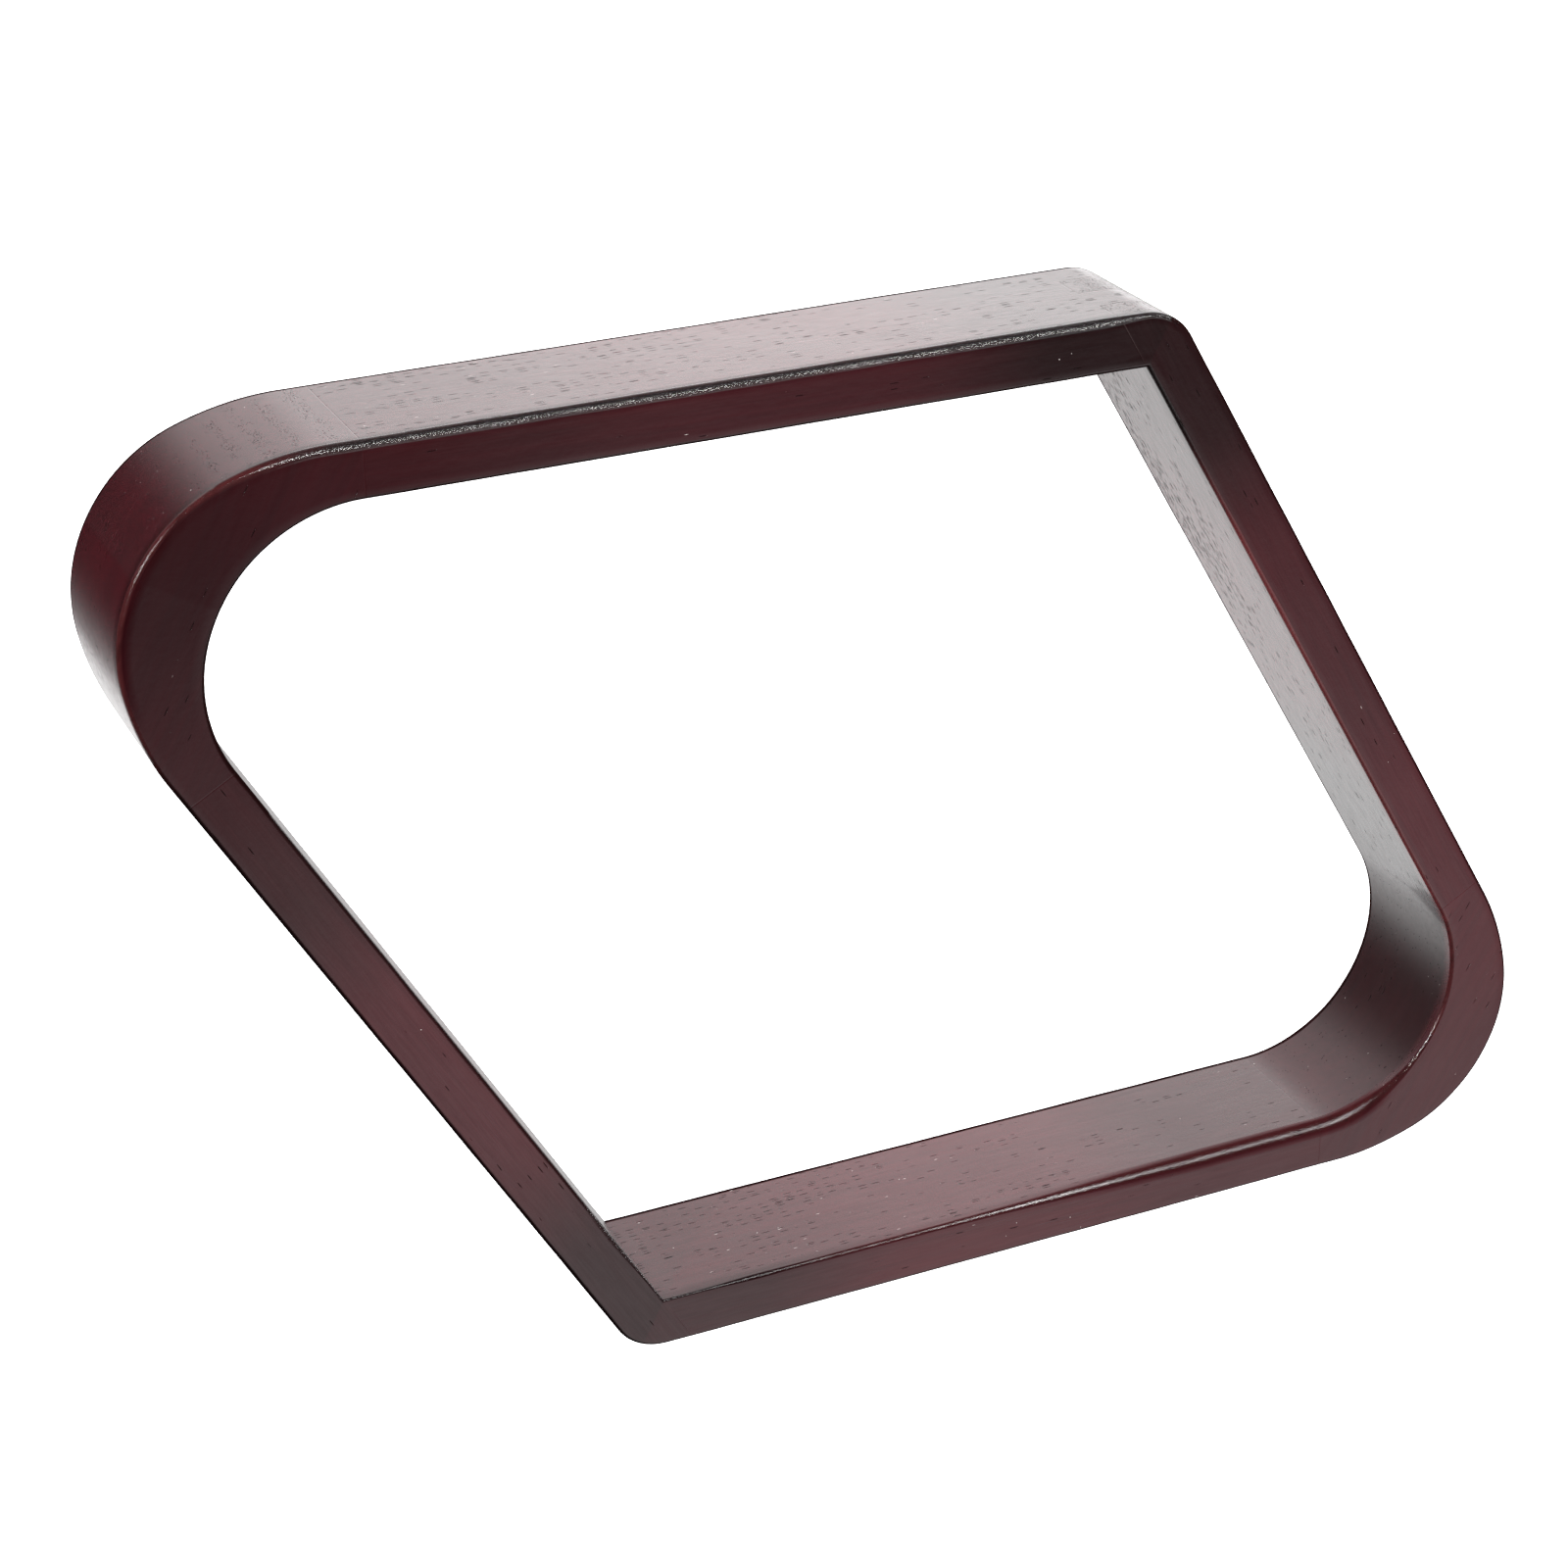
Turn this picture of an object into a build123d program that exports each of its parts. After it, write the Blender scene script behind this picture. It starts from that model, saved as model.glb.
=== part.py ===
"""Diamond rack for nine pool balls: four straight wooden rails and two curved corner blocks.

The rack lies flat. X runs along the long diagonal, Y along the short one, +Z is up, and the
origin is the centre of the diamond on the surface that the rack lies on.
"""
from build123d import *
from math import cos, radians, sin, tan
import os

# ---- driving dimensions, mm and degrees ----
ball_diameter = 57.15          # standard pool ball
balls_per_side = 3
racking_slack = 1.7            # spare length of an inner side, so that the rack lifts off the balls
half_acute = 30.0              # half of the diamond's 60 degree corners

wall = 9.5                     # thickness of a rail
height = 28.6                  # height of the rack, about the level of the balls' centres
edge_round = 0.9               # sanded edges of the upper and lower faces

inner_tip_radius = 27.0        # inside of a 60 degree corner, close round the last ball
outer_tip_radius = 28.5        # outside of a 60 degree corner, at the very tip
outer_tip_sweep = 40.0         # the tip arc's reach on each side of the long diagonal
shoulder_radius = 50.0         # blends the tip arc into the rails' outer faces
obtuse_radius = 10.4           # outside of a 120 degree corner; the inside is left sharp

comb_layers = 4                # fingers of both rails together, from the lower face to the upper
tenon_length = 9.0             # stub tenon at the rail's other end
tenon_shoulder = 6.0           # depth of the shoulder above and below the tenon
tenon_share = 1.0 / 3.0        # the tenon's part of the wall's thickness

# ---- derived sizes ----
acute = radians(half_acute)
obtuse = radians(90.0 - half_acute)
ball_radius = ball_diameter / 2
inner_side = (balls_per_side - 1) * ball_diameter + ball_radius * (1 / tan(acute) + 1 / tan(obtuse))
inner_side += racking_slack
inner_half_length = inner_side * cos(acute)     # centre to the inner faces' sharp 60 degree corner
inner_half_width = inner_side * sin(acute)      # centre to the inner 120 degree corner
inner_face_distance = inner_half_length * sin(acute)
outer_face_distance = inner_face_distance + wall
outer_half_width = outer_face_distance / cos(acute)
straight_length = inner_side - inner_tip_radius / tan(acute)    # inner face of one rail
layer_height = height / comb_layers
tenon_height = height - 2 * tenon_shoulder
tenon_thickness = wall * tenon_share
face_turn = 90.0 - half_acute                   # direction of a rail's outward normal
reach = 2 * wall                                # how far a cutting outline runs clear of the wall


def polar(radius, angle):
    """The point at this distance and direction, in degrees, from the origin."""
    return Vector(radius * cos(radians(angle)), radius * sin(radians(angle)))


def tip_centre(face_distance, tip_radius, sweep, blend_radius):
    """Centre, on the X axis, of a tip arc that blends into faces at this distance."""
    lean = cos(radians(face_turn - sweep))
    return Vector((face_distance - blend_radius + (blend_radius - tip_radius) * lean) / sin(acute), 0)


def on_rail(side, end, along, out):
    """A point beside one rail: along it from the inner 120 degree corner, out from its inner face.

    side is +1 for the rails on the +X half and -1 for the others, and end is the same for Y.
    """
    x = along * cos(acute) + out * sin(acute)
    y = inner_half_width - along * sin(acute) + out * cos(acute)
    return (side * x, end * y)


# ---- the whole frame as one ring, cut up below into its pieces ----
outer_tip = tip_centre(outer_face_distance, outer_tip_radius, outer_tip_sweep, shoulder_radius)
shoulder_centre = outer_tip - polar(shoulder_radius - outer_tip_radius, outer_tip_sweep)
obtuse_centre = Vector(0, outer_half_width - obtuse_radius / cos(acute))
inner_tip = tip_centre(inner_face_distance, inner_tip_radius, face_turn, inner_tip_radius)

with BuildPart() as ring:
    with BuildSketch(Plane.XY):
        with BuildLine():
            CenterArc(outer_tip, outer_tip_radius, 0, outer_tip_sweep)
            shoulder = CenterArc(
                shoulder_centre, shoulder_radius, outer_tip_sweep, face_turn - outer_tip_sweep
            )
            corner = CenterArc(obtuse_centre, obtuse_radius, face_turn, half_acute)
            Line(shoulder @ 1, corner @ 0)
            mirror(about=Plane.YZ)
            mirror(about=Plane.XZ)
        make_face()
        with BuildLine():
            tip = CenterArc(inner_tip, inner_tip_radius, 0, face_turn)
            Line(tip @ 1, (0, inner_half_width))
            mirror(about=Plane.YZ)
            mirror(about=Plane.XZ)
        make_face(mode=Mode.SUBTRACT)
    extrude(amount=height)
    rims = ring.edges().group_by(Axis.Z)
    fillet(rims[0] + rims[-1], radius=edge_round)


def flat_zone(level, points):
    """A flat face at one level, bounded by straight lines through these points."""
    with BuildSketch(Plane.XY.offset(level)) as zone:
        with BuildLine():
            Polyline(*points, close=True)
        make_face()
    return zone.sketch


def rail_zone(side, end):
    """The whole length of one rail, with the 120 degree corner that it runs through."""
    return flat_zone(0, [
        on_rail(side, end, straight_length, 0),
        on_rail(side, end, straight_length, reach),
        on_rail(side, end, -reach, reach),
        on_rail(side, end, -reach, 0),
    ])


def finger_zone(side, end, layer):
    """One layer of the 120 degree corner, where the neighbouring rail's finger lies."""
    return flat_zone(layer * layer_height, [
        on_rail(-side, end, 0, 0),
        on_rail(-side, end, -reach, 0),
        on_rail(-side, end, -reach, reach),
        on_rail(-side, end, reach, reach),
        on_rail(-side, end, reach, 0),
    ])


def tenon_zone(side, end):
    """The stub tenon at the end of one rail, seen from above."""
    inner = (wall - tenon_thickness) / 2
    outer = (wall + tenon_thickness) / 2
    return flat_zone(tenon_shoulder, [
        on_rail(side, end, straight_length, inner),
        on_rail(side, end, straight_length + tenon_length, inner),
        on_rail(side, end, straight_length + tenon_length, outer),
        on_rail(side, end, straight_length, outer),
    ])


def corner_block_zone(side):
    """Everything beyond the square ends of the two rails that meet in a 60 degree corner."""
    beyond = inner_half_length + reach
    return flat_zone(0, [
        (0, 0),
        on_rail(side, 1, straight_length, 0),
        on_rail(side, 1, straight_length, reach),
        (side * beyond, inner_half_width),
        (side * beyond, -inner_half_width),
        on_rail(side, -1, straight_length, reach),
        on_rail(side, -1, straight_length, 0),
    ])


def make_rail(name, side, end, slots):
    """One straight rail: comb fingers at the 120 degree corner, a stub tenon at the corner block."""
    with BuildPart() as rail:
        add(ring.part)
        extrude(rail_zone(side, end), amount=height, mode=Mode.INTERSECT)
        for layer in slots:
            extrude(finger_zone(side, end, layer), amount=layer_height, mode=Mode.SUBTRACT)
        extrude(tenon_zone(side, end), amount=tenon_height)
    rail.part.label = name
    export_step(rail.part, f"parts/{name}.step")


def make_corner_block(name, side):
    """The curved block of a 60 degree corner, mortised for the tenons of its two rails."""
    with BuildPart() as block:
        add(ring.part)
        extrude(corner_block_zone(side), amount=height, mode=Mode.INTERSECT)
        for end in (1, -1):
            extrude(tenon_zone(side, end), amount=tenon_height, mode=Mode.SUBTRACT)
    block.part.label = name
    export_step(block.part, f"parts/{name}.step")


# The four rails are one shape, turned end for end or over: where a rail's own fingers are,
# its neighbour has slots. Layers are counted from the lower face.
os.makedirs("parts", exist_ok=True)
lower_slots = range(0, comb_layers, 2)
upper_slots = range(1, comb_layers, 2)
make_rail("rail_back_left", -1, 1, upper_slots)
make_rail("rail_back_right", 1, 1, lower_slots)
make_rail("rail_front_left", -1, -1, lower_slots)
make_rail("rail_front_right", 1, -1, upper_slots)
make_corner_block("corner_block_left", -1)
make_corner_block("corner_block_right", 1)
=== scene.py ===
"""Diamond ball rack in stained and lacquered mahogany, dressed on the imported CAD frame.

Metres, in the CAD's own frame: X along the long diagonal, Y along the short one, +Z up, and the
floor at the rack's lower face. Each piece of wood is one closed mesh that replaces its CAD node.
"""
from collections import namedtuple
from math import cos, pi, radians, sin, tan

import bmesh
import bpy
from mathutils import Matrix, Vector, noise


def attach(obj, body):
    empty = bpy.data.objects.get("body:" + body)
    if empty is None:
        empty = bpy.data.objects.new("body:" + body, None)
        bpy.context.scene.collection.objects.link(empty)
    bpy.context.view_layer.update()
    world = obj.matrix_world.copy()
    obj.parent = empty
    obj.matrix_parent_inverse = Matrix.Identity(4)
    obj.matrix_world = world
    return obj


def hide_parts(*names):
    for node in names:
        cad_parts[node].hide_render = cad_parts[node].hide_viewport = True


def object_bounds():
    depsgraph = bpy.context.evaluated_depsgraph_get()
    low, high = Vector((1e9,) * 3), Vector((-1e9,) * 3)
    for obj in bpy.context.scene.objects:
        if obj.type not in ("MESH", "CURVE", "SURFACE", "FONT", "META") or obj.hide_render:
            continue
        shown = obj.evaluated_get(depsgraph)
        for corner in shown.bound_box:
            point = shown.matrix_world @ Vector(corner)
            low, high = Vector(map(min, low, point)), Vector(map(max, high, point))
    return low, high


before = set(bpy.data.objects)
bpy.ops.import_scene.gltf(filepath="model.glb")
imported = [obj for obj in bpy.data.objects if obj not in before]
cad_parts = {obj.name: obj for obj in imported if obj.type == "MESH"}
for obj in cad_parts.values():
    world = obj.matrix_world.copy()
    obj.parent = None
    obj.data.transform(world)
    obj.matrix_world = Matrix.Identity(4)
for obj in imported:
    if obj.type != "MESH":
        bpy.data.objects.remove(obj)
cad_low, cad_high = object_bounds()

MM = 0.001

# ---- sizes of the wood: the overall ones come from the frame ----
half_length = cad_high.x
height = cad_high.z
half_acute = radians(30.0)
wall = 9.5 * MM
edge_round = 0.9 * MM
inner_tip_radius = 27.0 * MM
outer_tip_radius = 28.5 * MM
outer_tip_sweep = radians(40.0)
shoulder_radius = 50.0 * MM
obtuse_radius = 10.4 * MM
comb_layers = 4
tenon_length = 9.0 * MM
tenon_shoulder = 6.0 * MM
tenon_share = 1.0 / 3.0

# ---- sizes that follow from them ----
face_turn = pi / 2 - half_acute                 # direction of the right back rail's outward normal
blend_turn = face_turn - outer_tip_sweep
outer_tip = Vector((half_length - outer_tip_radius, 0))
outer_face_distance = (
    outer_tip.x * sin(half_acute) + shoulder_radius
    - (shoulder_radius - outer_tip_radius) * cos(blend_turn)
)
inner_face_distance = outer_face_distance - wall
inner_half_width = inner_face_distance / cos(half_acute)
inner_side = inner_face_distance / (cos(half_acute) * sin(half_acute))
straight_length = inner_side - inner_tip_radius / tan(half_acute)
inner_tip = Vector(((inner_face_distance - inner_tip_radius) / sin(half_acute), 0))
inner_corner = Vector((0, inner_half_width))
obtuse_centre = Vector((0, (outer_face_distance - obtuse_radius) / cos(half_acute)))
layer_height = height / comb_layers

rail_direction = Vector((cos(half_acute), -sin(half_acute)))
rail_normal = Vector((sin(half_acute), cos(half_acute)))

# ---- fineness of the meshes, and the small unevenness of work done by hand ----
rail_step = 1.3 * MM
tip_steps = 44
corner_steps = 8
catch_up = 25.0 * MM          # from here on the mesh's cross lines stand square to the rail
round_steps = 8
face_steps = 8
groove_width = 0.05 * MM      # half the width of the line where two pieces meet
groove_depth = 0.012 * MM
groove_guard = 0.20 * MM      # the surface is level again from here on
foot_line = edge_round + 0.30 * MM     # the walls are painted dark as shade from the floor up to this level
foot_fade = edge_round + 0.55 * MM
rim_fade = 2.75 * MM          # the walls have a row of points at this depth below the top
sanding_depth = 0.07 * MM
sanding_span = 14.0 * MM
corner_sanding = 5.0 * MM     # sanding grows from nothing over this length beside an inner corner
round_spread = 0.12           # how unevenly the long edges were rounded, and over what length
round_span = 9.0 * MM
upper_extra = 0.5 * MM        # the back left rail's outer edge was rounded more than the others
upper_rounded = ((4 * MM, 14 * MM), (150 * MM, 172 * MM))
front_extra = 1.5 * MM        # and so was the far half of the front right rail's inner edge
front_rounded = ((45 * MM, 120 * MM), (142 * MM, 160 * MM))
crisp_share = 0.5             # the front rails' inner edges are crisper beside their corner
crisp_stretch = (4 * MM, 20 * MM)
crease_angle = radians(35)    # edges sharper than this are shaded as sharp


def direction(angle):
    """The level direction at this angle from +X."""
    return Vector((cos(angle), sin(angle)))


def on_rail(along, out):
    """A point beside the back right rail: along it from the inner corner, out from its inner face."""
    return inner_corner + rail_direction * along + rail_normal * out


def spread(start, end, step):
    """Even steps from start to end, both included."""
    count = max(1, round(abs(end - start) / step))
    return [start + (end - start) * i / count for i in range(count + 1)]


def ease(value, start, end):
    """0 before start, 1 after end, and smooth between them."""
    t = min(1.0, max(0.0, (value - start) / (end - start)))
    return t * t * (3 - 2 * t)


def between(value, rise, fall):
    """0 before the rise, 1 between it and the fall, and 0 again after the fall."""
    return ease(value, *rise) * (1 - ease(value, *fall))


def blend(share, first, second):
    """The first value at share 0, and the second at share 1."""
    return first + (second - first) * share


# ---- one quarter of the frame: cross lines from the inner outline to the outer one ----
Station = namedtuple(
    "Station", "inner outer inner_normal outer_normal inner_reach outer_reach corner seam side end"
)
shoulder_centre = outer_tip - direction(outer_tip_sweep) * (shoulder_radius - outer_tip_radius)
arc_end = (obtuse_centre - inner_corner).dot(rail_direction)
comb_end = wall / tan(face_turn)
arc_length = obtuse_radius * half_acute
shoulder_start = (shoulder_centre - inner_corner).dot(rail_direction)
face_rest = shoulder_start - straight_length
shoulder_length = shoulder_radius * blend_turn
beyond_length = face_rest + shoulder_length + outer_tip_radius * outer_tip_sweep


def outer_beyond(distance):
    """Point and normal of the outer outline, this far beyond the rail's end towards the tip."""
    if distance < face_rest:
        return on_rail(straight_length + distance, wall), rail_normal
    if distance < face_rest + shoulder_length:
        normal = direction(face_turn - (distance - face_rest) / shoulder_radius)
        return shoulder_centre + normal * shoulder_radius, normal
    normal = direction(outer_tip_sweep - (distance - face_rest - shoulder_length) / outer_tip_radius)
    return outer_tip + normal * outer_tip_radius, normal


def rail_station(inner_along, outer_along, seam=False):
    """A cross line in the back right rail, by its distances along the inner and the outer face."""
    reach = arc_length - arc_end + outer_along
    return Station(
        on_rail(inner_along, 0), on_rail(outer_along, wall), rail_normal, rail_normal,
        inner_along, reach, inner_along == 0, seam, 1, 1,
    )


def tip_station(part):
    """A cross line in the corner block: part runs from 0 at the rail's end to 1 at the tip."""
    inner_normal = direction(face_turn * (1 - part))
    outer, outer_normal = outer_beyond(beyond_length * part)
    return Station(
        inner_tip + inner_normal * inner_tip_radius, outer, inner_normal, outer_normal,
        straight_length + inner_tip_radius * face_turn * part,
        arc_length - arc_end + straight_length + beyond_length * part, False, False, 1, 1,
    )


def quarter():
    """Cross lines from the obtuse corner to the tip, and the zone that lies after each."""
    stations, zones = [], []
    for angle in spread(pi / 2, face_turn, half_acute / corner_steps)[:-1]:
        normal = direction(angle)
        reach = obtuse_radius * (pi / 2 - angle)
        outer = obtuse_centre + normal * obtuse_radius
        stations.append(Station(inner_corner, outer, rail_normal, normal, 0, reach, True, False, 1, 1))
    comb_steps = spread(arc_end, comb_end - groove_guard, rail_step) + [comb_end - groove_width]
    stations += [rail_station(0, s) for s in comb_steps]
    zones += ["comb"] * len(stations)
    stations.append(rail_station(0, comb_end, seam=True))
    for s in [comb_end + groove_width] + spread(comb_end + groove_guard, catch_up, rail_step)[:-1]:
        stations.append(rail_station(catch_up * (s - comb_end) / (catch_up - comb_end), s))
    rail_steps = spread(catch_up, straight_length - groove_guard, rail_step)
    rail_steps.append(straight_length - groove_width)
    stations += [rail_station(s, s) for s in rail_steps]
    zones += ["rail"] * (len(stations) - len(zones))
    stations.append(rail_station(straight_length, straight_length, seam=True))
    block_steps = spread(groove_guard / beyond_length, 1, 1 / tip_steps)
    block_steps.insert(0, groove_width / beyond_length)
    stations += [tip_station(part) for part in block_steps]
    zones += ["block"] * (len(stations) - len(zones) - 1)
    return stations, zones


def turned(station, side, end):
    """The same cross line in another quarter."""
    points = [Vector((p.x * side, p.y * end)) for p in station[:4]]
    return Station(*points, *station[4:-2], side, end)


def whole_ring():
    """Cross lines all the way round, and the zone, side and end of the stretch after each."""
    stations, stretches = [], []
    first, zones = quarter()
    for side, end in ((1, 1), (1, -1), (-1, -1), (-1, 1)):
        lines = [turned(station, side, end) for station in first]
        order = zones
        if side * end < 0:
            lines.reverse()
            order = zones[::-1]
        stations += lines[:-1]
        stretches += [(zone, side, end) for zone in order]
    return stations, stretches


# ---- the cross section: rows of points round the wood ----
def section_rows():
    """Rows as (face, place on it), all the way round, and the levels of the comb's joints.

    The place is a share of the width on the top and the bottom, a height on the walls, and the
    angle turned from the top or the bottom on the long edges.
    """
    joints = [k * layer_height for k in range(1, comb_layers)]
    levels = [(k + 0.5) * layer_height for k in range(comb_layers)] + joints
    for gap in (groove_width, groove_guard):
        levels += [z + gap for z in joints] + [z - gap for z in joints]
    levels += [foot_line, foot_fade, height - rim_fade]
    levels.sort()
    parts = [i / face_steps for i in range(1, face_steps)]
    turns = [pi / 2 * i / round_steps for i in range(round_steps + 1)]
    rows = [("top", part) for part in parts]
    rows += [("outer_top", turn) for turn in turns]
    rows += [("outer", z) for z in reversed(levels)]
    rows += [("outer_bottom", turn) for turn in reversed(turns)]
    rows += [("bottom", part) for part in reversed(parts)]
    rows += [("inner_bottom", turn) for turn in turns]
    rows += [("inner", z) for z in levels]
    rows += [("inner_top", turn) for turn in reversed(turns)]
    return rows, joints


rows, joint_levels = section_rows()


def nominal_level(row):
    """The height of a row, with the long edges counted to the top or the bottom."""
    kind, value = row
    if kind in ("outer", "inner"):
        return value
    return height if kind.endswith("top") else 0.0


def rounding(edge, station):
    """Radius of one long edge here. Hands and sandpaper made it, so it isn't the same everywhere."""
    reach = station.inner_reach if edge.startswith("inner") else station.outer_reach
    place = station.inner if edge.startswith("inner") else station.outer
    variation = noise.noise(Vector((place.x, place.y, len(edge) * MM)) / round_span)
    radius = edge_round * (1 + round_spread * variation)
    quarter_is = (station.side, station.end)
    if edge == "outer_top" and quarter_is == (-1, 1):
        radius += upper_extra * between(reach, *upper_rounded)
    if edge == "inner_top" and station.end < 0:
        radius *= blend(ease(reach, *crisp_stretch), crisp_share, 1.0)
    if edge == "inner_top" and quarter_is == (1, -1):
        radius += front_extra * between(reach, *front_rounded)
    return radius


def sanding(point):
    """How far the sanded surface lies below the true one."""
    return sanding_depth * (0.5 + 0.5 * noise.noise(point / sanding_span))


def flat(vector, z=0.0):
    """A level vector raised to this height."""
    return Vector((vector.x, vector.y, z))


def comb_side(end, layer):
    """Which side's rail runs through this layer of an obtuse corner."""
    return end if layer % 2 else -end


def layer_at(level):
    """The comb layer at this height, counted from the lower face."""
    return min(comb_layers - 1, int(level / layer_height))


def on_joint(station, row):
    """Whether two pieces of wood meet here."""
    kind, value = row
    if not station.corner:
        return station.seam
    if kind.startswith("inner"):
        return False
    if kind == "outer" and value in joint_levels:
        return True
    return station.seam and comb_side(station.end, layer_at(nominal_level(row))) != station.side


def section_point(station, row):
    """Where one row crosses one cross line."""
    kind, value = row
    line = (station.outer - station.inner).normalized()
    from_inner = line / line.dot(station.inner_normal)
    from_outer = -line / line.dot(station.outer_normal)
    if kind in ("top", "bottom"):
        start = station.inner + from_inner * rounding("inner_" + kind, station)
        stop = station.outer + from_outer * rounding("outer_" + kind, station)
        up = 1 if kind == "top" else -1
        point = flat(start.lerp(stop, value), height if up > 0 else 0.0)
        normal = Vector((0, 0, up))
    elif kind in ("outer", "inner"):
        point = flat(getattr(station, kind), value)
        normal = flat(station.outer_normal if kind == "outer" else -station.inner_normal)
    else:
        face, rim = kind.split("_")
        radius = rounding(kind, station)
        base, step = (station.outer, from_outer) if face == "outer" else (station.inner, from_inner)
        sideways = station.outer_normal if face == "outer" else -station.inner_normal
        drop = radius * (1 - cos(value))
        z = height - drop if rim == "top" else drop
        point = flat(base + step * radius * (1 - sin(value)), z)
        normal = flat(sideways * sin(value), cos(value) if rim == "top" else -cos(value))
    depth = sanding(point) + (groove_depth if on_joint(station, row) else 0.0)
    if kind.startswith("inner"):
        depth *= ease(station.inner_reach, 0, corner_sanding)
    return point - normal * depth


stations, stretches = whole_ring()
skin = [[section_point(station, row) for row in rows] for station in stations]
row_count = len(rows)


def strip_layer(v):
    """The comb layer that the strip after row v lies in."""
    middle = (nominal_level(rows[v]) + nominal_level(rows[(v + 1) % row_count])) / 2
    return layer_at(middle)


strip_layers = [strip_layer(v) for v in range(row_count)]

# ---- the pieces ----
rail_nodes = {
    (-1, 1): "rail_back_left",
    (1, 1): "rail_back_right",
    (-1, -1): "rail_front_left",
    (1, -1): "rail_front_right",
}
block_nodes = {-1: "corner_block_left", 1: "corner_block_right"}


def owner(stretch, layer):
    """The node of the piece that one stretch of one layer belongs to."""
    zone, side, end = stretch
    if zone == "block":
        return block_nodes[side]
    if zone == "comb":
        side = comb_side(end, layer)
    return rail_nodes[side, end]


mark_names = ("edge", "seam", "pores", "stain", "worn", "grit", "gloss", "satin")
same_point = 0.0001 * MM


def without_repeats(corners):
    """The corners in their order, each once."""
    return list(dict.fromkeys(corners))


class Piece:
    """Points and faces of one piece. Points that fall together are one."""

    def __init__(self):
        self.points, self.marks, self.faces, self.found = [], [], [], {}
        self.caps = []      # pairs of loops, each with a flat ring of faces to be filled in between

    def point(self, place, mark=(0.0,) * len(mark_names)):
        key = tuple(round(c / same_point) for c in place)
        if key not in self.found:
            self.found[key] = len(self.points)
            self.points.append(place)
            self.marks.append(mark)
        return self.found[key]

    def face(self, corners):
        loop = without_repeats(corners)
        if len(loop) > 2:
            self.faces.append(loop)


# ---- the finish: what stain, lacquer and sandpaper have left, and the shade painted on the edges and at the foot, read off the photo ----
# A pair of lengths is a stretch in which a value eases over. It is measured along the frame from
# the obtuse corner. A pair of angles is the same across a long edge, from the top to the wall.
# A rail is named by its node, and "tip" stands for the curve of a corner block.
comb_stretch = (14 * MM, 50 * MM)
mid_stretch = (80 * MM, 110 * MM)
tip_stretch = (138 * MM, 163 * MM)
block_begins = 130 * MM
shoulder_begins = 150 * MM

# painted shade on the edges: it comes in over these turns across the upper edges, eases off towards the
# wall, comes in over those of the lower edges, and lies on the front right rail's inner edge near its
# corner
edge_turn = (0.05 * pi, 0.20 * pi)
wall_turn = (0.43 * pi, 0.50 * pi)
bottom_turn = (0.15 * pi, 0.30 * pi)
shade_eased_by_wall = 0.4
front_right_painted_shade = 0.7
front_right_painted_shade_stretch = (50 * MM, 90 * MM)

end_grain_pores = 0.8
few_pores = 0.015
wall_pores = 0.09
tip_pores = 0.03
tip_pore_stretch = (146 * MM, 154 * MM)
back_right_pores = (0.06, 0.86)
back_right_pored = ((2 * MM, 8 * MM), (45 * MM, 80 * MM))
back_right_pored_levels = (0.4 * height, 0.7 * height)
front_right_pores = (0.16, 0.04)
front_right_pore_stretch = (45 * MM, 100 * MM)
back_left_pores = (0.10, 0.20, 0.04)
back_left_pore_stretches = ((70 * MM, 110 * MM), (144 * MM, 156 * MM))


def marks_at(station, row):
    """Values of a point that the material reads, in the order of mark_names."""
    kind, value = row
    # painted shade: rounded edges are painted darker towards the middle of their turn, and nearly black
    # at the foot and on most edges
    painted_shade = painted_shade_share(station, kind, value)
    edge = max(painted_shade, sin(2 * value) if "_" in kind else 0.0)
    seam = blend(station.corner, 0.2, 1.0) if on_joint(station, row) else 0.0
    return (
        edge, seam, pore_share(station, kind, value), stain_strength(station, kind),
        edge_wear_and_highlight(station, kind), edge_grit(station, kind),
        gloss_share(station, kind, value) * (1 - painted_shade), satin_share(station, kind),
    )


def painted_shade_share(station, kind, value):
    """1 where shade is painted nearly black and the lacquer's shine is taken off: at the foot and on
    most edges.
    """
    if kind in ("outer", "inner"):
        return 1 - ease(value, foot_line, foot_fade)
    if kind.endswith("_bottom"):
        return ease(value, *bottom_turn)
    side, end, reach = station.side, station.end, station.outer_reach
    # outer top edges left without painted shade: the back left rail's and the left tip's
    unshaded = (side, end) == (-1, 1) or (side < 0 and reach > shoulder_begins)
    back_or_tip = end > 0 or reach > block_begins
    if (kind == "outer_top" and not unshaded) or (kind == "inner_top" and side < 0 and back_or_tip):
        return ease(value, *edge_turn) * (1 - shade_eased_by_wall * ease(value, *wall_turn))
    if kind == "inner_top" and (side, end) == (1, -1):
        return front_right_painted_shade * sin(2 * value) * (1 - ease(reach, *front_right_painted_shade_stretch))
    return 0.0


def end_grain(station, kind, value):
    """Whether this is the end of the neighbouring rail's comb finger."""
    if kind != "outer" or not station.corner:
        return False
    return comb_side(station.end, layer_at(value)) != station.side


def pore_share(station, kind, value):
    """Share of the wood's pores that the lacquer has left open here."""
    quarter_is, reach = (station.side, station.end), station.inner_reach
    if end_grain(station, kind, value):
        return end_grain_pores
    if kind == "inner" and quarter_is == (1, 1):
        low_on_wall = 1 - ease(value, *back_right_pored_levels)
        return blend(between(reach, *back_right_pored) * low_on_wall, *back_right_pores)
    if kind == "inner" and quarter_is == (1, -1):
        return blend(ease(reach, *front_right_pore_stretch), *front_right_pores)
    if kind == "outer" and quarter_is == (-1, 1):
        first, middle, last = back_left_pores
        share = blend(ease(reach, *back_left_pore_stretches[0]), first, middle)
        return blend(ease(reach, *back_left_pore_stretches[1]), share, last)
    if kind in ("outer", "inner"):
        return blend(ease(reach, *tip_pore_stretch), wall_pores, tip_pores)
    return few_pores


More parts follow.
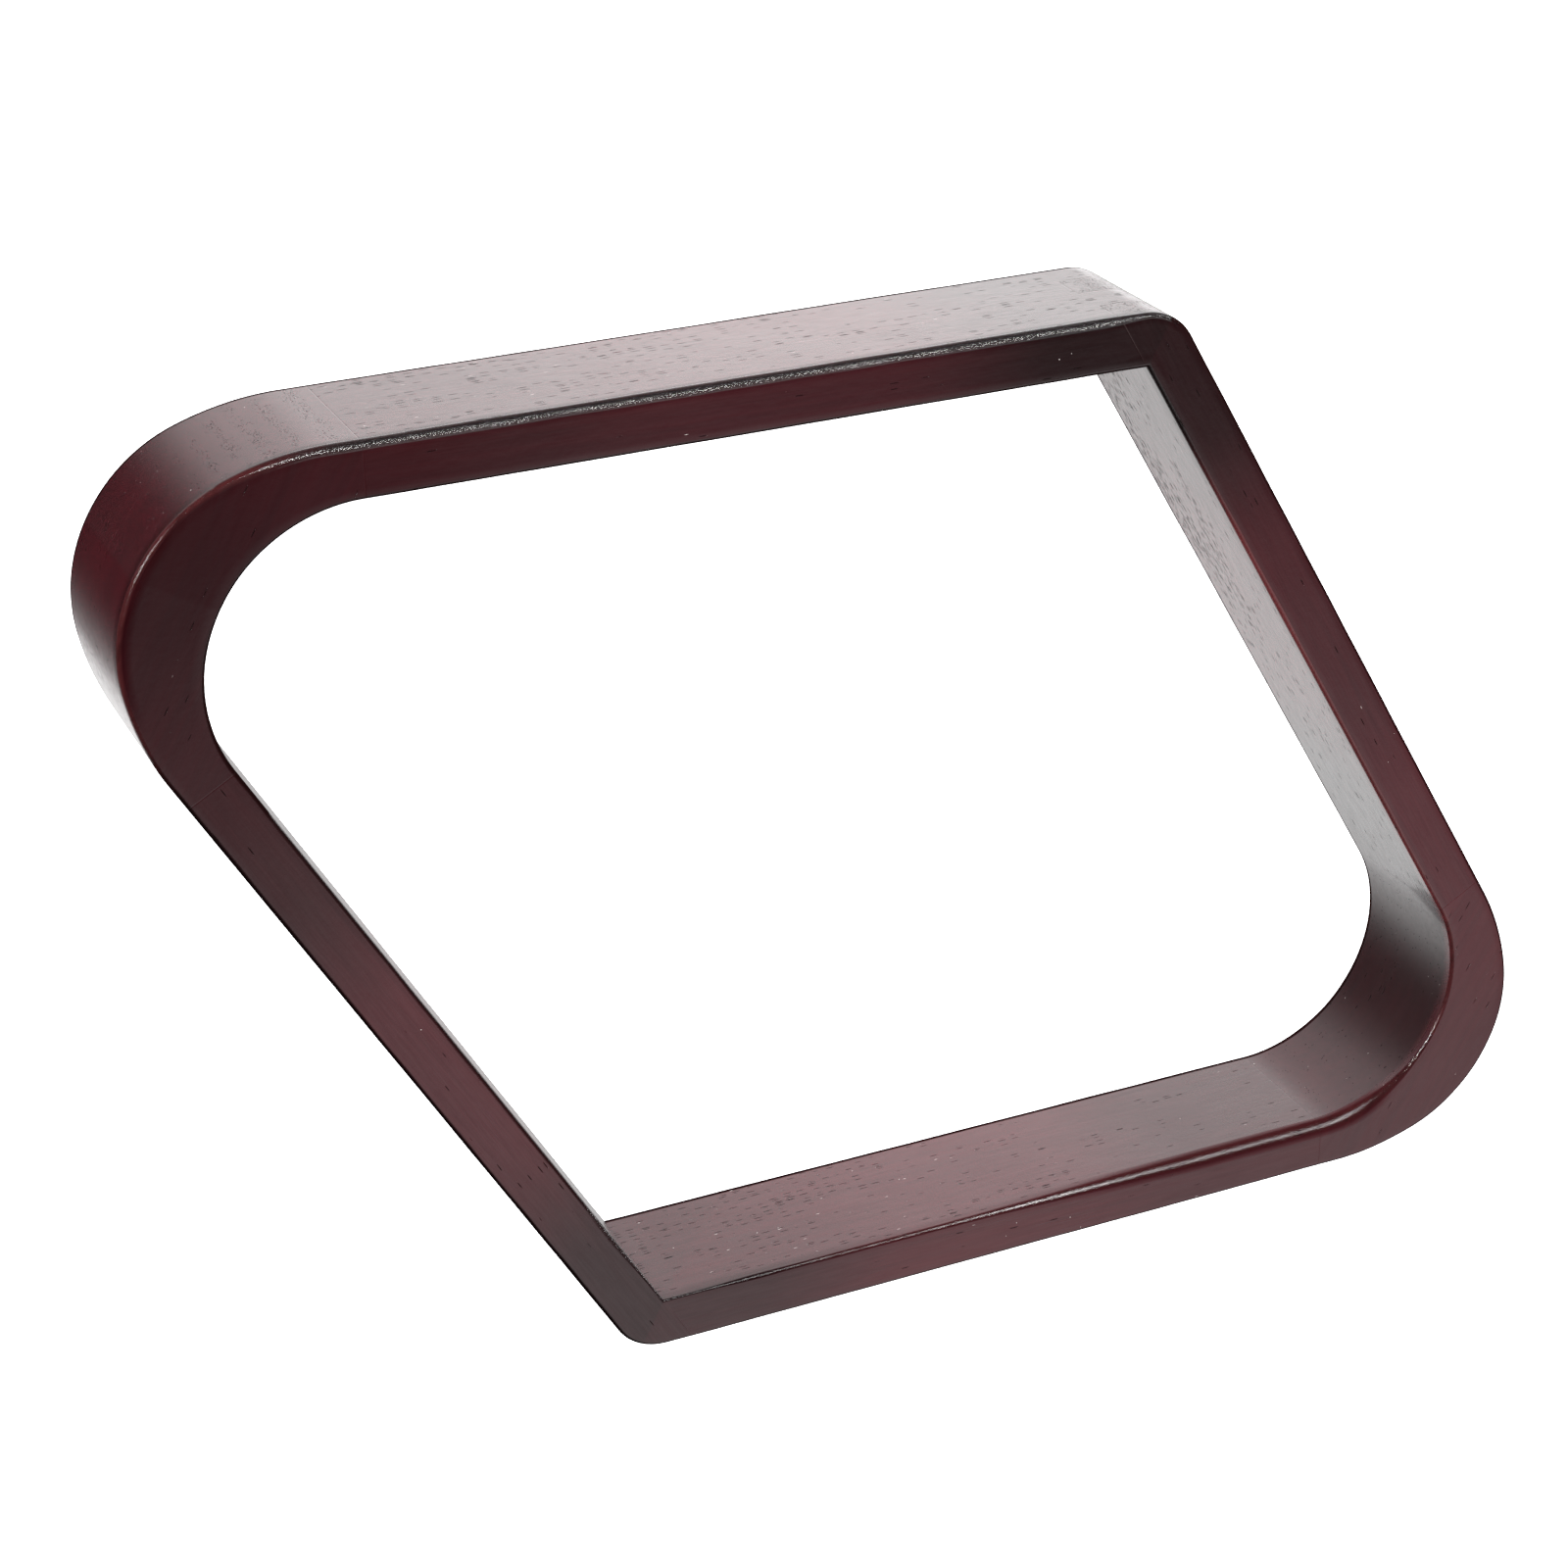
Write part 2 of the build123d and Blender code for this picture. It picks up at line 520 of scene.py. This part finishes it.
# Strength of the stain at the obtuse corner, along the rail and at its far end: the end grain of
# the comb took up more of the dark pigment, and no two pieces of the wood took the stain alike.
top_stain = {
    (-1, 1): (0.20, 0.82, 0.58),
    (1, 1): (0.27, 1.00, 1.45),
    (1, -1): (0.68, 1.50, 1.15),
    (-1, -1): (0.45, 1.30, 0.55),
}
wall_stain = {
    (-1, 1): (0.70, 1.40, 1.15),
    (1, 1): (0.70, 1.35, 0.30),
    (1, -1): (1.30, 1.60, 0.95),
    (-1, -1): (0.60, 1.30, 0.70),
}
tip_stain = {"top": {-1: 0.38, 1: 1.20}, "outer": {-1: 0.72, 1: 1.20}, "inner": {-1: 0.42, 1: 0.55}}


def stain_strength(station, kind):
    """How red the stained wood is here, against the colours of the material."""
    face = kind if kind in ("outer", "inner") else "top"
    corner, middle, late = (top_stain if face == "top" else wall_stain)[station.side, station.end]
    if face == "outer" and station.side > 0:
        late = middle
    reach = station.inner_reach
    strength = blend(ease(reach, *comb_stretch), corner, middle)
    strength = blend(ease(reach, *mid_stretch), strength, late)
    return blend(ease(reach, *tip_stretch), strength, tip_stain[face][station.side])


# painted shade: the other edges show only this much sanded wood under their near-black colour
shaded_edge_wear = 0.05
# the back right rail's inner edge is worn to red wood, and painted brighter than the others so that it
# also stands for a highlight along it
back_right_wear_and_highlight = (1.0, 0.4)
back_right_wear_and_highlight_stretch = (125 * MM, 150 * MM)
front_right_wear = 0.22
wear_stretch = (12 * MM, 45 * MM)
left_tip_wear = 0.35
left_tip_wear_stretch = (140 * MM, 165 * MM)


def edge_wear_and_highlight(station, kind):
    """1 where the sanded edge shows red wood, which on the back right rail's inner edge also stands for
    a painted highlight, and 0 where the edge keeps its painted near-black shade.
    """
    reach = station.inner_reach
    if kind == "inner_top" and station.side > 0:
        wear = front_right_wear
        if station.end > 0:
            # worn wood and a painted highlight on the back right rail's inner edge
            wear = blend(ease(reach, *back_right_wear_and_highlight_stretch), *back_right_wear_and_highlight)
        return wear * ease(reach, *wear_stretch)
    if kind == "outer_top" and station.side < 0:
        return left_tip_wear * ease(station.outer_reach, *left_tip_wear_stretch)
    return shaded_edge_wear


plain_grit = 0.4
rough_grit = 2.0
back_left_rough_ends = (140 * MM, 160 * MM)
corner_grit = 2.4
front_left_rough_ends = (20 * MM, 30 * MM)


def edge_grit(station, kind):
    """How rough the sandpaper has left the edge."""
    quarter_is = (station.side, station.end)
    if kind == "outer_top" and quarter_is == (-1, 1):
        return blend(ease(station.outer_reach, *back_left_rough_ends), rough_grit, plain_grit)
    if kind == "inner_top" and quarter_is == (-1, -1):
        return blend(ease(station.inner_reach, *front_left_rough_ends), corner_grit, plain_grit)
    return plain_grit


upper_band_ends = 151 * MM
stained_turns = ((0.20 * pi, 0.27 * pi), (0.42 * pi, 0.47 * pi))
stained_dulling = 0.9
polished_turns = ((0.03 * pi, 0.08 * pi), (0.20 * pi, 0.26 * pi))
front_right_dulling = 0.62
front_right_dull = ((70 * MM, 100 * MM), (146 * MM, 152 * MM))
corner_gloss = 0.85
corner_gloss_stretch = (2 * MM, 8 * MM)
# by the end that the place lies on, on the left block's outer wall and on the left half's rest
outer_tip_dulling = {1: 0.6, -1: 0.88}
outer_tip_dull_stretch = {1: (154 * MM, 159 * MM), -1: (145 * MM, 153 * MM)}
left_dulling = {1: 0.4, -1: 0.24}
left_dull_stretch = (95 * MM, 140 * MM)


def gloss_share(station, kind, value):
    """How much of the lacquer's shine is left here.

    The left block is duller than the rest. The back left rail's outer edge has a dull stained
    line along the wall and a polished one along the top.
    """
    side, end, reach = station.side, station.end, station.inner_reach
    if kind == "inner_top" and (side, end) == (1, -1):
        return 1 - front_right_dulling * between(reach, *front_right_dull)
    if kind == "outer" and station.corner and end > 0:
        return blend(ease(station.outer_reach, *corner_gloss_stretch), corner_gloss, 1.0)
    if side > 0:
        return 1.0
    if kind == "outer_top" and end > 0 and reach < upper_band_ends:
        stained = between(value, *stained_turns)
        return 1 - stained_dulling * stained + between(value, *polished_turns)
    if kind.startswith("outer"):
        return 1 - outer_tip_dulling[end] * ease(reach, *outer_tip_dull_stretch[end])
    return 1 - left_dulling[end] * ease(reach, *left_dull_stretch)


satin_stretch = (100 * MM, 155 * MM)


def satin_share(station, kind):
    """1 where the lacquer has dried to a softer sheen."""
    if kind == "inner" and station.side > 0:
        return ease(station.inner_reach, *satin_stretch)
    return 0.0


# ---- the joints' hidden faces ----
def layer_rows(layer):
    """Rows that lie in one layer, which make a closed loop."""
    low = layer * layer_height - same_point
    high = (layer + 1) * layer_height + same_point
    return [v for v in range(row_count) if low <= nominal_level(rows[v]) <= high]


def comb_run(end):
    """Cross lines of one obtuse corner, from one seam to the other."""
    count = len(stations)
    starts = [j for j in range(count) if stretches[j][0] == "comb" and stretches[j][2] == end]
    first = next(j for j in starts if (j - 1) % count not in starts)
    return [(first + i) % count for i in range(len(starts) + 1)]


def add_comb(piece, put, end):
    """The hidden faces between the fingers of one obtuse corner."""
    run = comb_run(end)
    for level in joint_levels:
        outer_row = rows.index(("outer", level))
        inner_row = rows.index(("inner", level))
        piece.face([put(j, outer_row) for j in run] + [put(run[0], inner_row)])
    for layer in range(comb_layers):
        line = run[0] if stations[run[0]].side != comb_side(end, layer) else run[-1]
        piece.face([put(line, v) for v in layer_rows(layer)])


def add_tenon_face(piece, put, line, side, end):
    """A rail's square end with its tenon, or the block's with its mortise, which has the same shape."""
    thick = wall * tenon_share
    near = (wall - thick) / 2
    far = (wall + thick) / 2
    low = tenon_shoulder
    top = height - tenon_shoulder
    roots, ends = [], []
    for out, z in ((near, low), (far, low), (far, top), (near, top)):
        for along, group in ((straight_length, roots), (straight_length + tenon_length, ends)):
            place = on_rail(along, out)
            group.append(piece.point(Vector((place.x * side, place.y * end, z))))
    piece.caps.append((without_repeats(put(line, v) for v in range(row_count)), roots))
    for i in range(4):
        k = (i + 1) % 4
        piece.face([roots[i], roots[k], ends[k], ends[i]])
    piece.face(ends)


def build_mesh(name, piece, grain_of):
    """The piece as a Blender object, closed, with its grain directions and marks as attributes."""
    mesh = bpy.data.meshes.new(name)
    mesh.from_pydata(piece.points, [], piece.faces)
    body = bmesh.new()
    body.from_mesh(mesh)
    body.verts.ensure_lookup_table()
    for loop, roots in piece.caps:
        edges = []
        for ring in (loop, roots):
            for a, b in zip(ring, ring[1:] + ring[:1]):
                pair = (body.verts[a], body.verts[b])
                edges.append(body.edges.get(pair) or body.edges.new(pair))
        bmesh.ops.triangle_fill(body, use_beauty=True, use_dissolve=False, edges=edges)
    bmesh.ops.recalc_face_normals(body, faces=body.faces)
    for face in body.faces:
        face.smooth = True
    for edge in body.edges:
        edge.smooth = edge.calc_face_angle(pi) < crease_angle
    body.to_mesh(mesh)
    body.free()
    grain = mesh.attributes.new("grain", "FLOAT_VECTOR", "POINT")
    grain.data.foreach_set("vector", [c for p in piece.points for c in grain_of(p)])
    for i, mark in enumerate(mark_names):
        attribute = mesh.attributes.new(mark, "FLOAT", "POINT")
        attribute.data.foreach_set("value", [marks[i] for marks in piece.marks])
    made = bpy.data.objects.new(name, mesh)
    bpy.context.scene.collection.objects.link(made)
    return made


# Each piece was cut from another part of the boards.
board_by_side = Vector((0.31, 0, 0.11))
board_by_end = Vector((0.17, 0.05, 0))


def make_piece(node, is_rail, side, end, material):
    """One piece of wood: its share of the skin, closed with the hidden faces of its joints."""
    piece = Piece()
    count = len(stations)

    def put(j, v):
        return piece.point(skin[j][v], marks_at(stations[j], rows[v]))

    for j in range(count):
        for v in range(row_count):
            if owner(stretches[j], strip_layers[v]) == node:
                k, w = (j + 1) % count, (v + 1) % row_count
                piece.face([put(j, v), put(j, w), put(k, w), put(k, v)])
    if is_rail:
        add_comb(piece, put, end)
        ends = [end]
        along = Vector((rail_direction.x * side, rail_direction.y * end, 0))
        across = Vector((rail_normal.x * side, rail_normal.y * end, 0))
    else:
        ends = [1, -1]
        along = Vector((0, 1, 0))
        across = Vector((1, 0, 0))
    for e in ends:
        line = next(
            j for j, station in enumerate(stations)
            if station.seam and not station.corner and (station.side, station.end) == (side, e)
        )
        add_tenon_face(piece, put, line, side, e)
    board = board_by_side * side + board_by_end * end

    def grain_of(p):
        return Vector((p.dot(along), p.dot(across), p.z)) + board

    made = build_mesh(node + "_wood", piece, grain_of)
    made.data.materials.append(material)
    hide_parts(node)
    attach(made, "root")


# ---- materials ----
class Nodes:
    """Adds nodes to a tree and wires them up. Densities are in features per mm."""

    def __init__(self, tree):
        self.tree = tree
        tree.nodes.clear()

    def add(self, kind, values=None, **settings):
        made = self.tree.nodes.new(kind)
        for key, value in settings.items():
            setattr(made, key, value)
        for key, value in (values or {}).items():
            if isinstance(value, bpy.types.NodeSocket):
                self.tree.links.new(value, made.inputs[key])
            else:
                made.inputs[key].default_value = value
        return made

    def math(self, operation, *values):
        return self.add("ShaderNodeMath", dict(enumerate(values)), operation=operation).outputs[0]

    def ramp(self, value, low, high, to_low=0.0, to_high=1.0):
        values = {
            "Value": value, "From Min": low, "From Max": high, "To Min": to_low, "To Max": to_high,
        }
        made = self.add("ShaderNodeMapRange", values, interpolation_type="SMOOTHSTEP")
        return made.outputs["Result"]

    def mix(self, share, first, second):
        made = self.add("ShaderNodeMix", {0: share}, data_type="RGBA")
        for socket, value in ((made.inputs[6], first), (made.inputs[7], second)):
            if isinstance(value, bpy.types.NodeSocket):
                self.tree.links.new(value, socket)
            else:
                socket.default_value = (*value, 1.0)
        return made.outputs[2]

    def stretched(self, vector, per_mm):
        values = {0: vector, 1: [c / MM for c in per_mm]}
        return self.add("ShaderNodeVectorMath", values, operation="MULTIPLY").outputs[0]

    def noise(self, vector, per_mm, detail=2.0, roughness=0.5):
        values = {
            "Vector": self.stretched(vector, per_mm), "Scale": 1.0,
            "Detail": detail, "Roughness": roughness,
        }
        return self.add("ShaderNodeTexNoise", values).outputs["Fac"]

    def cells(self, vector, per_mm):
        values = {"Vector": self.stretched(vector, per_mm), "Scale": 1.0}
        made = self.add("ShaderNodeTexVoronoi", values, voronoi_dimensions="3D")
        chance = self.add("ShaderNodeSeparateColor", {0: made.outputs["Color"]}).outputs[0]
        return made.outputs["Distance"], chance

    def attribute(self, name, output="Fac"):
        return self.add("ShaderNodeAttribute", attribute_name=name).outputs[output]

    def bump(self, height, depth, normal=None):
        values = {"Height": height, "Distance": depth, "Strength": 1.0}
        if normal:
            values["Normal"] = normal
        return self.add("ShaderNodeBump", values).outputs["Normal"]


# Densities along the grain, across it and up, per mm
streak_density = (0.010, 0.55, 0.55)
figure_density = (0.018, 0.07, 0.07)
fibre_density = (0.12, 4.5, 4.5)
pore_density = (0.36, 4.0, 4.0)
cluster_density = (0.03, 0.4, 0.4)
speck_density = (0.45, 0.45, 0.45)
peel_density = (0.9, 0.9, 0.9)
scratch_density = (2.2, 3.0, 3.0)
sheen_density = (0.25, 1.2, 1.2)

# the first colour is the near-black shade painted on the edges and at the foot
painted_edge_shade = (0.003, 0.0015, 0.0015)
# red of worn edges, bright enough to stand also for the highlight on the back right rail's inner edge
sanded_wood_and_highlight = (0.120, 0.024, 0.026)
pore_colour = (0.004, 0.0015, 0.0015)
seam_colour = (0.20, 0.16, 0.15)
speck_colour = (0.55, 0.50, 0.48)
# painted glints on the rims of pores
pore_glints_colour = (0.60, 0.54, 0.52)

peel_depth = 0.008 * MM
pore_depth = 0.08 * MM
scratch_depth = 0.17 * MM
fibre_relief = 0.04           # against the depth of the pores
speck_chance_limit = 0.10
# share of open pores that get a painted glint
pore_glints_per_pore = 0.15
wood_ior = 1.5
specular_level = 0.5
coat_weight = 0.3
coat_roughness = 0.08


def mahogany(name, dark, middle, red, fibre_share):
    """Red-brown stain over open-pored wood, under a satin lacquer."""
    material = bpy.data.materials.new(name)
    material.use_nodes = True
    n = Nodes(material.node_tree)
    grain = n.attribute("grain", "Vector")
    edge, seam, open_share, stain, worn, grit, gloss, satin = map(n.attribute, mark_names)

    streaks = n.noise(grain, streak_density, detail=4.0, roughness=0.6)
    figure = n.noise(grain, figure_density)
    fibres = n.noise(grain, fibre_density, detail=3.0, roughness=0.65)

    # open pores, dark and in clusters, and at a few others light spots painted as glints on their rims
    distance, chance = n.cells(grain, pore_density)
    clusters = n.ramp(n.noise(grain, cluster_density), 0.35, 0.65, 0.1, 1.7)
    there = n.math("LESS_THAN", chance, n.math("MULTIPLY", open_share, clusters))
    pores = n.math("MULTIPLY", n.ramp(distance, 0.28, 0.36, 1.0, 0.0), there)
    pore_glints_share = n.math("MULTIPLY", open_share, pore_glints_per_pore)
    glinting = n.math("GREATER_THAN", chance, n.math("SUBTRACT", 1.0, pore_glints_share))
    pore_glints = n.math("MULTIPLY", n.ramp(distance, 0.08, 0.18, 1.0, 0.0), glinting)

    # light specks, partly dust in the lacquer and partly painted tiny glints
    speck_distance, speck_chance = n.cells(grain, speck_density)
    speckled = n.math("LESS_THAN", speck_chance, speck_chance_limit)
    specks = n.math("MULTIPLY", n.ramp(speck_distance, 0.03, 0.06, 1.0, 0.0), speckled)

    colour = n.mix(n.ramp(streaks, 0.3, 0.7), dark, middle)
    colour = n.mix(n.ramp(figure, 0.45, 0.75, 0.0, 0.3), colour, red)
    fibre_colour = tuple(c * 0.4 for c in dark)
    colour = n.mix(n.ramp(fibres, 0.35, 0.75, 0.0, fibre_share), colour, fibre_colour)
    stained = n.add("ShaderNodeVectorMath", {0: colour, "Scale": stain}, operation="SCALE")
    # painted shade: the edges are mixed towards near black, or towards sanded red wood where worn
    worn_share = n.math("MULTIPLY", worn, n.ramp(streaks, 0.25, 0.65, 0.5, 1.0))
    edge_shade_and_wear = n.mix(worn_share, painted_edge_shade, sanded_wood_and_highlight)
    colour = n.mix(edge, stained.outputs[0], edge_shade_and_wear)
    colour = n.mix(n.math("MULTIPLY", pores, 0.9), colour, pore_colour)
    colour = n.mix(n.math("MULTIPLY", seam, 0.22), colour, seam_colour)
    # light specks: dust, and painted glints
    colour = n.mix(n.math("MULTIPLY", specks, 0.8), colour, speck_colour)
    # painted glints at pore rims
    colour = n.mix(pore_glints, colour, pore_glints_colour)

    raised = n.math("SUBTRACT", n.math("MULTIPLY", fibres, fibre_relief), pores)
    broken = n.noise(grain, scratch_density, detail=3.0, roughness=0.75)
    scratched = n.math("MULTIPLY", n.math("MULTIPLY", broken, edge), grit)
    normal = n.bump(n.noise(grain, peel_density), peel_depth)
    normal = n.bump(raised, pore_depth, normal)
    normal = n.bump(scratched, scratch_depth, normal)

    rough = n.ramp(n.noise(grain, sheen_density, detail=3.0), 0.3, 0.7, 0.18, 0.25)
    rough = n.math("ADD", rough, n.math("MULTIPLY", satin, 0.12))
    rough = n.math("SUBTRACT", rough, n.math("MULTIPLY", edge, 0.10))
    rough = n.math("ADD", rough, n.math("MULTIPLY", pores, 0.3))
    fibre_shine = n.ramp(fibres, 0.3, 0.7, 1 + 0.3 * fibre_share, 1 - 0.45 * fibre_share)
    shine = n.math("MULTIPLY", gloss, fibre_shine)
    shine = n.math("MULTIPLY", shine, n.math("SUBTRACT", 1.0, n.math("MULTIPLY", pores, 0.85)))

    shader = n.add("ShaderNodeBsdfPrincipled", {
        "Base Color": colour, "Roughness": rough, "IOR": wood_ior, "Normal": normal,
        "Specular IOR Level": n.math("MULTIPLY", shine, specular_level),
        "Coat Weight": n.math("MULTIPLY", shine, coat_weight),
        "Coat Roughness": coat_roughness, "Coat IOR": wood_ior, "Coat Normal": normal,
    })
    n.add("ShaderNodeOutputMaterial", {"Surface": shader.outputs[0]})
    return material


def plain(name, colour, roughness, glow):
    """One colour that glows white, so that the picture's ground stays clean."""
    material = bpy.data.materials.new(name)
    material.use_nodes = True
    n = Nodes(material.node_tree)
    shader = n.add("ShaderNodeBsdfPrincipled", {
        "Base Color": (*colour, 1.0), "Roughness": roughness,
        "Emission Color": (1.0, 1.0, 1.0, 1.0), "Emission Strength": glow,
    })
    n.add("ShaderNodeOutputMaterial", {"Surface": shader.outputs[0]})
    return material


stain_colours = ((0.031, 0.0035, 0.0058), (0.039, 0.0042, 0.0068), (0.052, 0.0054, 0.0080))
rail_wood = mahogany("rail_mahogany", *stain_colours, 0.22)
block_wood = mahogany("block_mahogany", *stain_colours, 0.06)

for (side, end), node in rail_nodes.items():
    make_piece(node, True, side, end, rail_wood)
for side, node in block_nodes.items():
    make_piece(node, False, side, 0, block_wood)

# ---- floor and backdrop ----
room_radius = 6.0
room_segments = 96
floor_gap = 0.05 * MM


def stage_object(name, body, material):
    """A mesh of the room. The wood doesn't mirror it."""
    mesh = bpy.data.meshes.new(name)
    body.to_mesh(mesh)
    body.free()
    made = bpy.data.objects.new(name, mesh)
    made.data.materials.append(material)
    made.visible_glossy = False
    bpy.context.scene.collection.objects.link(made)
    return made


def stage_disc(name, material):
    """The floor, just below the wood."""
    body = bmesh.new()
    bmesh.ops.create_circle(body, cap_ends=True, segments=room_segments, radius=room_radius)
    made = stage_object(name, body, material)
    made.location.z = -floor_gap


def stage_wall(name, material):
    """A pale wall round the floor, which only the camera sees."""
    body = bmesh.new()
    bmesh.ops.create_cone(
        body, cap_ends=False, segments=room_segments,
        radius1=room_radius, radius2=room_radius, depth=2 * room_radius,
    )
    made = stage_object(name, body, material)
    made.visible_diffuse = False
    made.visible_shadow = False


stage_disc("floor", plain("pale_floor", (0.85, 0.85, 0.85), roughness=0.9, glow=1.8))
stage_wall("backdrop", plain("pale_backdrop", (0.8, 0.8, 0.8), roughness=0.9, glow=1.0))

# ---- light ----
centre = Vector((0, 0, height / 2))
softbox_distance = 0.9


def toward(azimuth, elevation):
    """Direction to a place in the sky: degrees from +X, and above the floor."""
    a, e = radians(azimuth), radians(elevation)
    return Vector((cos(a) * cos(e), sin(a) * cos(e), sin(e)))


def softbox(name, azimuth, elevation, width, depth, power):
    """A rectangular lamp that faces the wood."""
    light = bpy.data.lights.new(name, "AREA")
    light.shape = "RECTANGLE"
    light.size = width
    light.size_y = depth
    light.energy = power
    made = bpy.data.objects.new(name, light)
    away = toward(azimuth, elevation)
    made.location = centre + away * softbox_distance
    made.rotation_euler = away.to_track_quat("Z", "Y").to_euler()
    made.visible_camera = False
    bpy.context.scene.collection.objects.link(made)


softbox("left_softbox", azimuth=190, elevation=37, width=0.10, depth=0.10, power=7.0)
softbox("back_softbox", azimuth=88, elevation=42, width=0.60, depth=0.06, power=12.0)


def studio_world():
    """Light from all round. The tops mirror its upper half, and the walls its lower half.

    The upper half is dark but for one glow, and the lower half is bright but for two shades.
    """
    world = bpy.data.worlds.new("studio")
    world.use_nodes = True
    n = Nodes(world.node_tree)
    view = n.add("ShaderNodeTexCoord").outputs["Generated"]
    z = n.add("ShaderNodeSeparateXYZ", {0: view}).outputs[2]

    def lobe(azimuth, elevation, edge, core, outside, inside):
        """A round patch: one value inside its core, another outside its edge, in degrees."""
        middle = toward(azimuth, elevation)
        near = n.add("ShaderNodeVectorMath", {0: view, 1: middle}, operation="DOT_PRODUCT")
        return n.ramp(near.outputs["Value"], cos(radians(edge)), cos(radians(core)), outside, inside)

    shade = lobe(203, -60, edge=41.5, core=14, outside=1.0, inside=0.0)
    far_shade = lobe(-5, -52, edge=27, core=8, outside=1.0, inside=0.5)
    ground = lobe(48, -50, edge=31, core=9, outside=1.26, inside=2.3)
    glow = lobe(-35, 40, edge=28, core=10, outside=0.06, inside=0.97)
    lower_half = n.ramp(z, -0.55, -0.25, 1.0, 0.0)
    below = n.math("MULTIPLY", n.math("MULTIPLY", ground, shade), lower_half)
    below = n.math("MULTIPLY", below, far_shade)
    strength = n.math("ADD", below, glow)
    shader = n.add("ShaderNodeBackground", {"Color": (1.0, 1.0, 1.0, 1.0), "Strength": strength})
    n.add("ShaderNodeOutputWorld", {"Surface": shader.outputs[0]})
    bpy.context.scene.world = world


studio_world()
bpy.context.scene.view_settings.view_transform = "Standard"

# ---- camera: where the photograph was taken from, as fitted to the outline ----
photo_heading = -19.89        # degrees from +X
photo_elevation = 54.95
photo_roll = -133.50
photo_distance = 590.54 * MM
aim_offset = Vector((-17.36, 0.46, 0.0)) * MM
field_of_view = radians(25.537)
film_width = 36.0             # mm


def photo_camera():
    """A camera at the photograph's viewing angle, turned about its own axis as it was."""
    camera = bpy.data.cameras.new("photo_camera")
    camera.sensor_width = film_width
    camera.lens = film_width / 2 / tan(field_of_view / 2)
    made = bpy.data.objects.new("photo_camera", camera)
    forward = -toward(photo_heading + 180, photo_elevation)
    level_right = forward.cross(Vector((0, 0, 1))).normalized()
    level_up = level_right.cross(forward)
    roll = radians(photo_roll)
    up = level_up * cos(roll) + level_right * sin(roll)
    right = forward.cross(up)
    place = Matrix.Translation(centre + aim_offset - forward * photo_distance)
    made.matrix_world = place @ Matrix((right, up, -forward)).transposed().to_4x4()
    bpy.context.scene.collection.objects.link(made)
    bpy.context.scene.camera = made


photo_camera()
